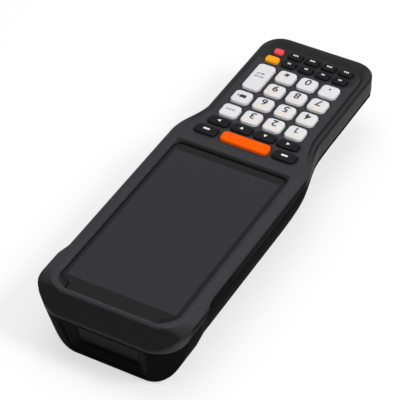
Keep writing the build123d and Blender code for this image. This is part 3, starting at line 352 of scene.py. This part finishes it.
def circuitBoard(name, look):
    # lacquer over copper: the tracks show as slightly lighter ridges under a gloss
    material, tree, surface, place = newMaterial(name)
    tracks = addNode(tree, "ShaderNodeTexVoronoi", {"Scale": 1 / (look["track"] * mm)}, {"Vector": place},
                     distance="MANHATTAN", feature="F1")
    lines = addNode(tree, "ShaderNodeMapRange",
                    {"From Min": boardSkin["gapEnd"], "From Max": boardSkin["trackStart"]},
                    {"Value": tracks.outputs["Distance"]})
    tone = addNode(tree, "ShaderNodeMix", {6: linearColor(look["dark"]), 7: linearColor(look["light"])},
                   {0: lines.outputs["Result"]}, data_type="RGBA")
    bump = addNode(tree, "ShaderNodeBump", {"Strength": boardSkin["bump"], "Distance": look["copper"] * mm},
                   {"Height": lines.outputs["Result"]})
    tree.links.new(tone.outputs[2], surface.inputs["Base Color"])
    tree.links.new(bump.outputs["Normal"], surface.inputs["Normal"])
    surface.inputs["Roughness"].default_value = look["rough"]
    surface.inputs["Coat Weight"].default_value = boardSkin["coat"]
    return material


# the tracks are far finer than their 2.5 mm here, drawn coarser so that they show
boardLook = {"dark": "12472a", "light": "1d6139", "track": 2.5, "copper": 0.05, "rough": 0.35}
paint(circuitBoard("Green solder resist", boardLook), "main_board", "keypad_board")
# polyimide is a clear amber film, and the copper below shows through it
filmLook = {"dark": "8a5320", "light": "a9692c", "track": 3.0, "copper": 0.02, "rough": 0.3}
paint(circuitBoard("Amber polyimide film", filmLook), "antenna")


# glass panes
paneSkin = {"detail": 3.0, "spread": 0.08, "ior": 1.52}


def darkPane(name, look):
    # polished hard-coated glass, printed black behind: it only mirrors the room, with faint finger smears
    material, tree, surface, place = newMaterial(name)
    smear = addNode(tree, "ShaderNodeTexNoise",
                    {"Scale": 1 / (look["smear"] * mm), "Detail": paneSkin["detail"]}, {"Vector": place})
    skin = addNode(tree, "ShaderNodeMix", {6: linearColor(look["dark"]), 7: linearColor(look["light"])},
                   {0: smear.outputs["Fac"]}, data_type="RGBA").outputs[2]
    if "panel" in look:
        # the unlit panel behind the glass is a shade lighter than the print round it
        inPanel = zoneMask(tree, place, look["zone"], look["soft"])
        skin = addNode(tree, "ShaderNodeMix", {7: linearColor(look["panel"])}, {0: inPanel, 6: skin},
                       data_type="RGBA").outputs[2]
    rough = addNode(tree, "ShaderNodeMapRange",
                    {"To Min": look["rough"], "To Max": look["rough"] + paneSkin["spread"]},
                    {"Value": smear.outputs["Fac"]})
    tree.links.new(skin, surface.inputs["Base Color"])
    tree.links.new(rough.outputs["Result"], surface.inputs["Roughness"])
    surface.inputs["IOR"].default_value = paneSkin["ior"]
    surface.inputs["Specular IOR Level"].default_value = look["specular"]
    return material


# the scanner's window is coated against reflections, so it stays nearly black
paneLook = {"dark": "050506", "light": "070708", "rough": 0.24, "smear": 12.0, "specular": 0.02}
paint(darkPane("Coated scanner glass", paneLook), "scan_window")
# a lens is polished finer than a pane and mirrors a small sharp highlight
lensLook = {"dark": "08080a", "light": "0c0c10", "rough": 0.05, "smear": 4.0, "specular": 0.5}
paint(darkPane("Coated lens glass", lensLook), "camera_window")
# the touch glass has a slightly matt hard coat that spreads the room's light over it
glassLook = {"dark": "070708", "light": "0a0a0b", "rough": 0.12, "smear": 40.0, "specular": 0.28,
             "zone": (-1.0, 26.6, -6.0, 89.0), "soft": 0.4, "panel": "242427"}
paint(darkPane("Touch panel glass", glassLook), "display_glass")
print("materials made")


# keycaps
def roundedOutline(width, height, radius, steps):
    # points round a rectangle with rounded corners, anticlockwise
    points = []
    for corner, (sx, sy) in enumerate(((1, 1), (-1, 1), (-1, -1), (1, -1))):
        for step in range(steps + 1):
            angle = (corner + step / steps) * math.pi / 2
            points.append((sx * (width / 2 - radius) + radius * math.cos(angle),
                           sy * (height / 2 - radius) + radius * math.sin(angle)))
    return points


# millimetres, apart from the numbers of steps and the shares at which the crown's rings lie
capLook = {"flange": 0.45, "flangeHeight": 0.7, "roll": 0.8, "crown": 0.12, "taper": 0.12, "steps": 7,
           "rollSteps": 5, "least": 0.05, "weld": 0.0005, "crownRings": (0.75, 0.5, 0.25)}


def buildKeycap(name, material, slotName, cornerRadius):
    # a cap that draws in a little towards its top, rolls over and rises to a low crown
    node = "key_" + name
    low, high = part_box(node)
    middle = (low + high) / 2 / mm
    flange, roll, crown = capLook["flange"], capLook["roll"], capLook["crown"]
    width, height = (high.x - low.x) / mm - 2 * flange, (high.y - low.y) / mm - 2 * flange
    top, foot = high.z / mm, low.z / mm
    shelf = foot + capLook["flangeHeight"]
    rings = [(flange, foot), (flange, shelf), (0.0, shelf + capLook["least"]),
             (-capLook["taper"], top - roll)]
    for step in range(1, capLook["rollSteps"] + 1):
        angle = step / capLook["rollSteps"] * math.pi / 2
        rings.append((-capLook["taper"] - roll * (1 - math.cos(angle)),
                      top - crown - (roll - crown) * (1 - math.sin(angle))))
    outlines = [(width + 2 * grow, height + 2 * grow, max(cornerRadius + grow, capLook["least"]), z)
                for grow, z in rings]
    wide, tall, corner, _ = outlines[-1]
    for share in capLook["crownRings"]:  # draw in towards the middle while the crown rises
        outlines.append((wide * share, tall * share, corner * share, top - crown * share * share))
    cap = bmesh.new()
    loops = [[cap.verts.new(((middle.x + x) * mm, (middle.y + y) * mm, z * mm))
              for x, y in roundedOutline(wide, tall, corner, capLook["steps"])]
             for wide, tall, corner, z in outlines]
    for lower, upper in zip(loops, loops[1:]):
        for i, j in zip(range(len(lower)), [*range(1, len(lower)), 0]):
            cap.faces.new((lower[i], lower[j], upper[j], upper[i]))
    cap.faces.new(loops[-1])
    cap.faces.new(loops[0][::-1])
    bmesh.ops.remove_doubles(cap, verts=cap.verts, dist=capLook["weld"] * mm)
    bmesh.ops.recalc_face_normals(cap, faces=cap.faces)
    data = meshFrom(cap, name + "Cap")
    data.shade_smooth()
    finishPiece("cap_" + name, data, material, node, slotName, node)


whiteKeys = ["1", "2", "3", "shift", "4", "5", "6", "camera", "7", "8", "9", "point", "0", "star", "enter"]
arrowKeys = ["side_left", "side_right", "arrow_left", "arrow_up", "arrow_down", "arrow_right"]
functionKeys = ["f1", "f2", "f3", "f4", "f5", "f6", "f7", "f8"]
# each group has its plastic, its slot and its corner radius
capGroups = [(whiteKeys, whiteCap, "key_white", 2.4), (arrowKeys, darkCap, "key_dark", 2.2),
             (functionKeys, darkCap, "key_dark", 1.6), (["scan"], orangeCap, "key_orange", 2.4),
             (["function"], amberCap, "key_amber", 1.6), (["power"], redCap, "key_red", 1.6)]
for names, plastic, slotName, cornerRadius in capGroups:
    for name in names:
        buildKeycap(name, plastic, slotName, cornerRadius)
print("keycaps made")


# printed legends
inkSkin = {"rub": 1.0, "detail": 2.0, "rough": 0.55}


def printedInk(name, dark, light):
    # a thin pad-printed ink film, slightly duller than the cap and thinner where thumbs rub it
    material, tree, surface, place = newMaterial(name)
    rub = addNode(tree, "ShaderNodeTexNoise", {"Scale": 1 / (inkSkin["rub"] * mm), "Detail": inkSkin["detail"]},
                  {"Vector": place})
    tone = addNode(tree, "ShaderNodeMix", {6: linearColor(dark), 7: linearColor(light)},
                   {0: rub.outputs["Fac"]}, data_type="RGBA")
    tree.links.new(tone.outputs[2], surface.inputs["Base Color"])
    surface.inputs["Roughness"].default_value = inkSkin["rough"]
    return material


# dark inks cover in one layer, pale ones let a little of the key through and look slightly greyed
blackInk = printedInk("Black pad-print ink", "1e1a1e", "2c272c")
greyInk = printedInk("Grey pad-print ink", "78787c", "8a8a8e")
peachInk = printedInk("Pale orange pad-print ink", "e9cdb2", "efd8c2")
whiteInk = printedInk("White pad-print ink", "d8d8d8", "e6e6e6")

legendLook = {"proud": 0.02, "depth": 0.3, "digit": 6.0, "weight": 0.1, "digitShift": -1.3, "barShift": 2.5}


def printMark(name, suffix, data, material, slotName, shift=0.0):
    # a mark lies on the crowned top of its key, shifted along the body, and rides with it
    low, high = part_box("key_" + name)
    middle = (low + high) / 2
    share = shift / ((high.y - low.y) / mm / 2)
    lift = (legendLook["proud"] - capLook["crown"] * share * share) * mm
    data.transform(Matrix.Translation((middle.x, middle.y + shift * mm, high.z + lift)))
    data.name = name + suffix
    finishPiece("print_" + name + suffix, data, material, "key_" + name, slotName)


def digitMesh(text):
    # a numeral as a thin solid, centred, its face at height zero
    curve = bpy.data.curves.new("numeral", "FONT")
    curve.body = text
    curve.size = legendLook["digit"] * mm
    curve.extrude = legendLook["depth"] / 2 * mm
    curve.offset = legendLook["weight"] * mm
    curve.align_x, curve.align_y = "CENTER", "CENTER"
    holder = bpy.data.objects.new("numeral", curve)
    bpy.context.scene.collection.objects.link(holder)
    bpy.context.view_layer.update()
    data = bpy.data.meshes.new_from_object(holder.evaluated_get(bpy.context.evaluated_depsgraph_get()))
    bpy.data.objects.remove(holder)
    data.transform(Matrix.Translation((0, 0, -legendLook["depth"] / 2 * mm)))
    return data


def markMesh(outlines):
    # flat printed shapes from outlines in millimetres round the mark's middle
    mark = bmesh.new()
    for outline in outlines:
        top = [mark.verts.new((x * mm, y * mm, 0)) for x, y in outline]
        foot = [mark.verts.new((x * mm, y * mm, -legendLook["depth"] * mm)) for x, y in outline]
        mark.faces.new(top)
        mark.faces.new(foot[::-1])
        for i, j in zip(range(len(top)), [*range(1, len(top)), 0]):
            mark.faces.new((top[j], top[i], foot[i], foot[j]))
    bmesh.ops.recalc_face_normals(mark, faces=mark.faces)
    return meshFrom(mark, "mark")


def bar(x, y, width, height):
    # a rectangle from its middle and its size
    return [(x - width / 2, y - height / 2), (x + width / 2, y - height / 2),
            (x + width / 2, y + height / 2), (x - width / 2, y + height / 2)]


def ringOutline(radii):
    # one point per radius, spread evenly round the middle
    return [(radius * math.cos(i * math.tau / len(radii)), radius * math.sin(i * math.tau / len(radii)))
            for i, radius in enumerate(radii)]


# what both Geometry Nodes trees share
def newTree(name, sockets):
    # a tree with its named inputs, listed by kind, and one output
    tree = bpy.data.node_groups.new(name, "GeometryNodeTree")
    for kind, names in sockets.items():
        for socket in names:
            tree.interface.new_socket(name=socket, in_out="INPUT", socket_type="NodeSocket" + kind)
    tree.interface.new_socket(name="Geometry", in_out="OUTPUT", socket_type="NodeSocketGeometry")
    return tree, addNode(tree, "NodeGroupInput").outputs


def placeCopies(tree, points, shape, material):
    # a copy of the shape stands on each point, made real and given its material
    copies = addNode(tree, "GeometryNodeInstanceOnPoints", links={"Points": points, "Instance": shape})
    real = addNode(tree, "GeometryNodeRealizeInstances", links={"Geometry": copies.outputs["Instances"]})
    dressed = addNode(tree, "GeometryNodeSetMaterial",
                      links={"Geometry": real.outputs["Geometry"], "Material": material})
    addNode(tree, "NodeGroupOutput", links={"Geometry": dressed.outputs["Geometry"]})


# rows of pads, made by one tree: printed dashes and plated contacts
padSizes = ["Pitch", "Width", "Length", "Height", "Corner"]
padShape = {"cornerSteps": 4, "weld": 0.001}


def buildRowTree():
    tree, given = newTree("row of pads", {"Int": ["Count"], "Float": padSizes, "Material": ["Material"]})
    outline = addNode(tree, "GeometryNodeCurvePrimitiveQuadrilateral",
                      links={"Width": given["Width"], "Height": given["Length"]})
    rounded = addNode(tree, "GeometryNodeFilletCurve", {"Count": padShape["cornerSteps"]},
                      {"Curve": outline.outputs["Curve"], "Radius": given["Corner"]}, mode="POLY")
    face = addNode(tree, "GeometryNodeFillCurve", links={"Curve": rounded.outputs["Curve"]}, mode="NGONS")
    raised = addNode(tree, "GeometryNodeExtrudeMesh",
                     links={"Mesh": face.outputs["Mesh"], "Offset Scale": given["Height"]})
    base = addNode(tree, "GeometryNodeFlipFaces", links={"Mesh": face.outputs["Mesh"]})
    shell = addNode(tree, "GeometryNodeJoinGeometry")
    tree.links.new(raised.outputs["Mesh"], shell.inputs[0])
    tree.links.new(base.outputs["Mesh"], shell.inputs[0])
    pad = addNode(tree, "GeometryNodeMergeByDistance", {"Distance": padShape["weld"] * mm},
                  {"Geometry": shell.outputs["Geometry"]})
    # the row is centred: it starts half its span to the left
    last = addNode(tree, "ShaderNodeMath", {1: 1.0}, {0: given["Count"]}, operation="SUBTRACT")
    span = addNode(tree, "ShaderNodeMath", links={0: last.outputs[0], 1: given["Pitch"]}, operation="MULTIPLY")
    back = addNode(tree, "ShaderNodeMath", {1: -0.5}, {0: span.outputs[0]}, operation="MULTIPLY")
    start = addNode(tree, "ShaderNodeCombineXYZ", links={"X": back.outputs[0]})
    stride = addNode(tree, "ShaderNodeCombineXYZ", links={"X": given["Pitch"]})
    line = addNode(tree, "GeometryNodeMeshLine",
                   links={"Count": given["Count"], "Start Location": start.outputs[0],
                          "Offset": stride.outputs[0]})
    placeCopies(tree, line.outputs["Mesh"], pad.outputs["Geometry"], given["Material"])
    return tree


def bakeTree(tree, values, source=None):
    # run a tree once with its inputs set, and keep the result as a plain mesh
    holder = bpy.data.objects.new("holder", source or bpy.data.meshes.new("holder"))
    bpy.context.scene.collection.objects.link(holder)
    modifier = holder.modifiers.new("tree", "NODES")
    modifier.node_group = tree
    for item in tree.interface.items_tree:
        if item.in_out == "INPUT" and item.name in values:
            modifier[item.identifier] = values[item.name]
    bpy.context.view_layer.update()
    data = bpy.data.meshes.new_from_object(holder.evaluated_get(bpy.context.evaluated_depsgraph_get()))
    holder.modifiers.remove(modifier)
    bpy.data.objects.remove(holder)
    return data


rowTree = buildRowTree()


def rowMesh(look, material):
    sizes = {name: look[name.lower()] * mm for name in padSizes}
    return bakeTree(rowTree, {**sizes, "Count": look["count"], "Material": material})


for name in "234567890":
    printMark(name, "", digitMesh(name), blackInk, "key_dark", legendLook["digitShift"])
# the one has a flag but no foot, the star has six plain points and the point is round
oneOutline = [(0.05, -2.1), (0.7, -2.1), (0.7, 2.1), (0.2, 2.1), (-1.05, 1.35), (-1.05, 0.75), (0.05, 1.3)]
plainMarks = {"1": oneOutline, "star": ringOutline((2.0, 0.75) * 6), "point": ringOutline((0.6,) * 16)}
for name, outline in plainMarks.items():
    printMark(name, "", markMesh([outline]), blackInk, "key_dark", legendLook["digitShift"])


# dashes stand for what is printed on a key in letters
def printDashes(name, look, ink, slotName, shift):
    data = rowMesh(look, ink)
    data.transform(Matrix.Translation((0, 0, -look["height"] * mm)))
    printMark(name, "Dashes", data, ink, slotName, shift)


# a pale row above each numeral for the key's second meaning
dashLook = {"pitch": 1.35, "width": 1.0, "length": 1.3, "height": 0.3, "corner": 0.2}
dashCounts = {"1": 3, "2": 3, "3": 3, "4": 3, "5": 3, "6": 3, "7": 4, "8": 3, "9": 4}
for name, count in dashCounts.items():
    printDashes(name, {**dashLook, "count": count}, peachInk, "key_orange", legendLook["barShift"])

# a plain row in place of the word on a key: how many dashes, their ink and slot, and the shift
wordLook = {"pitch": 0.95, "width": 0.65, "length": 1.0, "height": 0.3, "corner": 0.15}
wordRows = {"shift": (5, greyInk, "key_dark", -0.3), "enter": (5, greyInk, "key_dark", 0.2),
            **{key: (2, whiteInk, "key_white", -0.2) for key in functionKeys[:4]},
            **{key: (3, whiteInk, "key_white", -0.2) for key in functionKeys[4:]}}
for name, (count, ink, slotName, shift) in wordRows.items():
    printDashes(name, {**wordLook, "count": count}, ink, slotName, shift)

# arrows, bars and a small picture, in millimetres round the middle of the mark
arrowOutline = [(-0.9, -0.8), (0.9, -0.8), (0, 0.9)]
arrowTurns = {"arrow_left": 90, "arrow_up": 0, "arrow_down": 180, "arrow_right": -90}
for name, angle in arrowTurns.items():
    c, s = math.cos(math.radians(angle)), math.sin(math.radians(angle))
    turned = [(x * c - y * s, x * s + y * c) for x, y in arrowOutline]
    printMark(name, "", markMesh([turned]), whiteInk, "key_white")
sideBar = bar(0, 0, 3.2, 1.1)
for name in ("side_left", "side_right"):
    printMark(name, "", markMesh([sideBar]), whiteInk, "key_white")
enterArrow = [bar(0.6, 0, 2.6, 0.5), bar(1.7, 0.7, 0.5, 1.2), [(-0.5, 0.9), (-2.0, 0), (-0.5, -0.9)]]
cameraMark = [bar(-0.5, 0, 3.2, 2.2), [(1.3, 0), (2.3, 0.9), (2.3, -0.9)]]
enterShift, cameraShift = -2.4, -0.2
printMark("enter", "Arrow", markMesh(enterArrow), greyInk, "key_dark", enterShift)
printMark("camera", "", markMesh(cameraMark), blackInk, "key_dark", cameraShift)
print("legends printed")

# dock contacts: gold pads that stand just proud of their block, inside the housing's face
contactLook = {"count": 8, "pitch": 2.0, "width": 1.1, "length": 3.2, "height": 0.5, "corner": 0.25,
               "proud": 0.15}
dockLow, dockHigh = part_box("dock_connector")
data = rowMesh(contactLook, goldPlate)
data.transform(Matrix.Translation(((dockLow.x + dockHigh.x) / 2, (dockLow.y + dockHigh.y) / 2,
                                   dockLow.z - contactLook["proud"] * mm)))
finishPiece("dock_contacts", data, goldPlate, "terminal_body", "connector_metal")


# housing screws, one tree that puts a hexagon-socket screw at each place
def buildScrewTree(look):
    sizes = ["Head Radius", "Head Height", "Socket Radius", "Socket Depth", "Shank Radius", "Shank Length"]
    tree, given = newTree("housing screws", {"Geometry": ["Places"], "Float": sizes, "Material": ["Material"]})

    def standing(radius, depth, sides, share):
        # a round or hexagonal bar, lifted by a share of its own depth
        solid = addNode(tree, "GeometryNodeMeshCylinder", {"Vertices": sides},
                        {"Radius": radius, "Depth": depth})
        rise = addNode(tree, "ShaderNodeMath", {1: share}, {0: depth}, operation="MULTIPLY")
        lift = addNode(tree, "ShaderNodeCombineXYZ", links={"Z": rise.outputs[0]})
        return addNode(tree, "GeometryNodeTransform",
                       links={"Geometry": solid.outputs["Mesh"], "Translation": lift.outputs[0]}).outputs[0]

    # the head hangs below its seat, the socket is cut into its outer face and the shank rises from the seat
    head = standing(given["Head Radius"], given["Head Height"], look["sides"], -0.5)
    socket = standing(given["Socket Radius"], given["Socket Depth"], look["socketSides"], 0.0)
    reach = addNode(tree, "ShaderNodeMath", {1: -1.0}, {0: given["Head Height"]}, operation="MULTIPLY")
    down = addNode(tree, "ShaderNodeCombineXYZ", links={"Z": reach.outputs[0]})
    socket = addNode(tree, "GeometryNodeTransform",
                     links={"Geometry": socket, "Translation": down.outputs[0]}).outputs[0]
    cut = addNode(tree, "GeometryNodeMeshBoolean", operation="DIFFERENCE", solver="EXACT")
    tree.links.new(head, cut.inputs[0])
    tree.links.new(socket, cut.inputs[1])
    shank = standing(given["Shank Radius"], given["Shank Length"], look["sides"], 0.5)
    both = addNode(tree, "GeometryNodeJoinGeometry")
    tree.links.new(cut.outputs["Mesh"], both.inputs[0])
    tree.links.new(shank, both.inputs[0])
    placeCopies(tree, given["Places"], both.outputs["Geometry"], given["Material"])
    return tree


screwLook = {"places": ((19.0, -99.6), (27.0, -15.6), (24.5, 92.5)), "seat": 17.5, "sides": 40,
             "headRadius": 1.9, "socketSides": 6, "socketRadius": 1.1, "socketDepth": 2.4, "shankRadius": 1.0}
screwLow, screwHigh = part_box("housing_screws")
seat = screwLook["seat"]
screwPoints = [(side * x * mm, y * mm, seat * mm) for x, y in screwLook["places"] for side in (1, -1)]
places = bpy.data.meshes.new("screwPlaces")
places.from_pydata(screwPoints, [], [])
screwSizes = {"Head Radius": screwLook["headRadius"] * mm, "Head Height": seat * mm - screwLow.z,
              "Socket Radius": screwLook["socketRadius"] * mm, "Socket Depth": screwLook["socketDepth"] * mm,
              "Shank Radius": screwLook["shankRadius"] * mm, "Shank Length": screwHigh.z - seat * mm,
              "Material": screwMetal}
data = bakeTree(buildScrewTree(screwLook), screwSizes, places)
finishPiece("screws", data, screwMetal, "terminal_body", "screw_steel", "housing_screws")
print("contacts and screws made")

# stage, light and camera
floorLook = {"size": 6000.0, "color": "f6f6f6", "rough": 0.9, "white": 0.6}


def buildFloor():
    half = floorLook["size"] / 2 * mm
    corners = [(-half, -half, 0), (half, -half, 0), (half, half, 0), (-half, half, 0)]
    data = bpy.data.meshes.new("floor")
    data.from_pydata(corners, [], [(0, 1, 2, 3)])
    floor = bpy.data.objects.new("floor", data)
    bpy.context.scene.collection.objects.link(floor)
    material, tree, surface, _ = newMaterial("Pale seamless paper")
    surface.inputs["Base Color"].default_value = linearColor(floorLook["color"])
    surface.inputs["Roughness"].default_value = floorLook["rough"]
    surface.inputs["Specular IOR Level"].default_value = 0.0
    # the seamless paper reads as white where it is seen, and keeps part of the shadow
    rays = addNode(tree, "ShaderNodeLightPath").outputs
    seen = addNode(tree, "ShaderNodeMath", links={0: rays["Is Camera Ray"], 1: rays["Is Glossy Ray"]},
                   operation="MAXIMUM")
    shown = addNode(tree, "ShaderNodeMath", links={0: seen.outputs[0], 1: rays["Is Transmission Ray"]},
                    operation="MAXIMUM")
    share = addNode(tree, "ShaderNodeMath", {1: floorLook["white"]}, {0: shown.outputs[0]},
                    operation="MULTIPLY")
    white = addNode(tree, "ShaderNodeEmission", {"Strength": 1.0})
    mixed = addNode(tree, "ShaderNodeMixShader",
                    links={0: share.outputs[0], 1: surface.outputs["BSDF"], 2: white.outputs["Emission"]})
    tree.links.new(mixed.outputs["Shader"], tree.nodes["Material Output"].inputs["Surface"])
    data.materials.append(material)


buildFloor()

# two large soft lamps in a pale room that is brighter above than at the horizon: metres and watts
lampLook = {"overhead": {"place": (0.1, -0.15, 1.3), "size": 0.8, "power": 4.2},
            "beside": {"place": (-0.82, 0.05, 0.95), "size": 0.4, "power": 7.2}}
roomLook = {"horizon": 0.22, "zenith": 0.78}
for name, look in lampLook.items():
    lamp = bpy.data.lights.new(name, "AREA")
    lamp.shape = "DISK"
    lamp.size = look["size"]
    lamp.energy = look["power"]
    item = bpy.data.objects.new(name, lamp)
    item.location = look["place"]
    item.rotation_mode = "QUATERNION"
    item.rotation_quaternion = Vector(look["place"]).to_track_quat("Z", "Y")
    bpy.context.scene.collection.objects.link(item)

world = bpy.data.worlds.new("pale room")
bpy.context.scene.world = world
world.use_nodes = True
room = world.node_tree
background = room.nodes["Background"]
background.inputs["Color"].default_value = (1, 1, 1, 1)
toward = addNode(room, "ShaderNodeTexCoord").outputs["Generated"]
height = addNode(room, "ShaderNodeSeparateXYZ", links={"Vector": toward}).outputs["Z"]
level = addNode(room, "ShaderNodeMapRange", {"To Min": roomLook["horizon"], "To Max": roomLook["zenith"]},
                {"Value": height})
room.links.new(level.outputs["Result"], background.inputs["Strength"])

# the focal length is in pixels of the frame, and the clip distances are in metres
cameraLook = {"place": (-337.3, 632.7, 645.6), "right": (-0.8762, -0.4819, 0.0),
              "back": (-0.3627, 0.6595, 0.6583), "focal": 2086.5, "frame": 400, "sensor": 36.0,
              "clip": (0.05, 20.0)}
lens = bpy.data.cameras.new("camera")
lens.sensor_width = cameraLook["sensor"]
lens.lens = cameraLook["sensor"] * cameraLook["focal"] / cameraLook["frame"]
lens.clip_start, lens.clip_end = cameraLook["clip"]
camera = bpy.data.objects.new("camera", lens)
back = Vector(cameraLook["back"]).normalized()
right = Vector(cameraLook["right"]).normalized()
up = back.cross(right)
spot = [value * mm for value in cameraLook["place"]]
rows = [(*turn, value) for turn, value in zip(zip(right, up, back), spot)]
camera.matrix_world = Matrix([*rows, (0, 0, 0, 1)])
bpy.context.scene.collection.objects.link(camera)
bpy.context.scene.camera = camera
bpy.context.scene.view_settings.view_transform = "Standard"
print("stage, lamps and camera set")
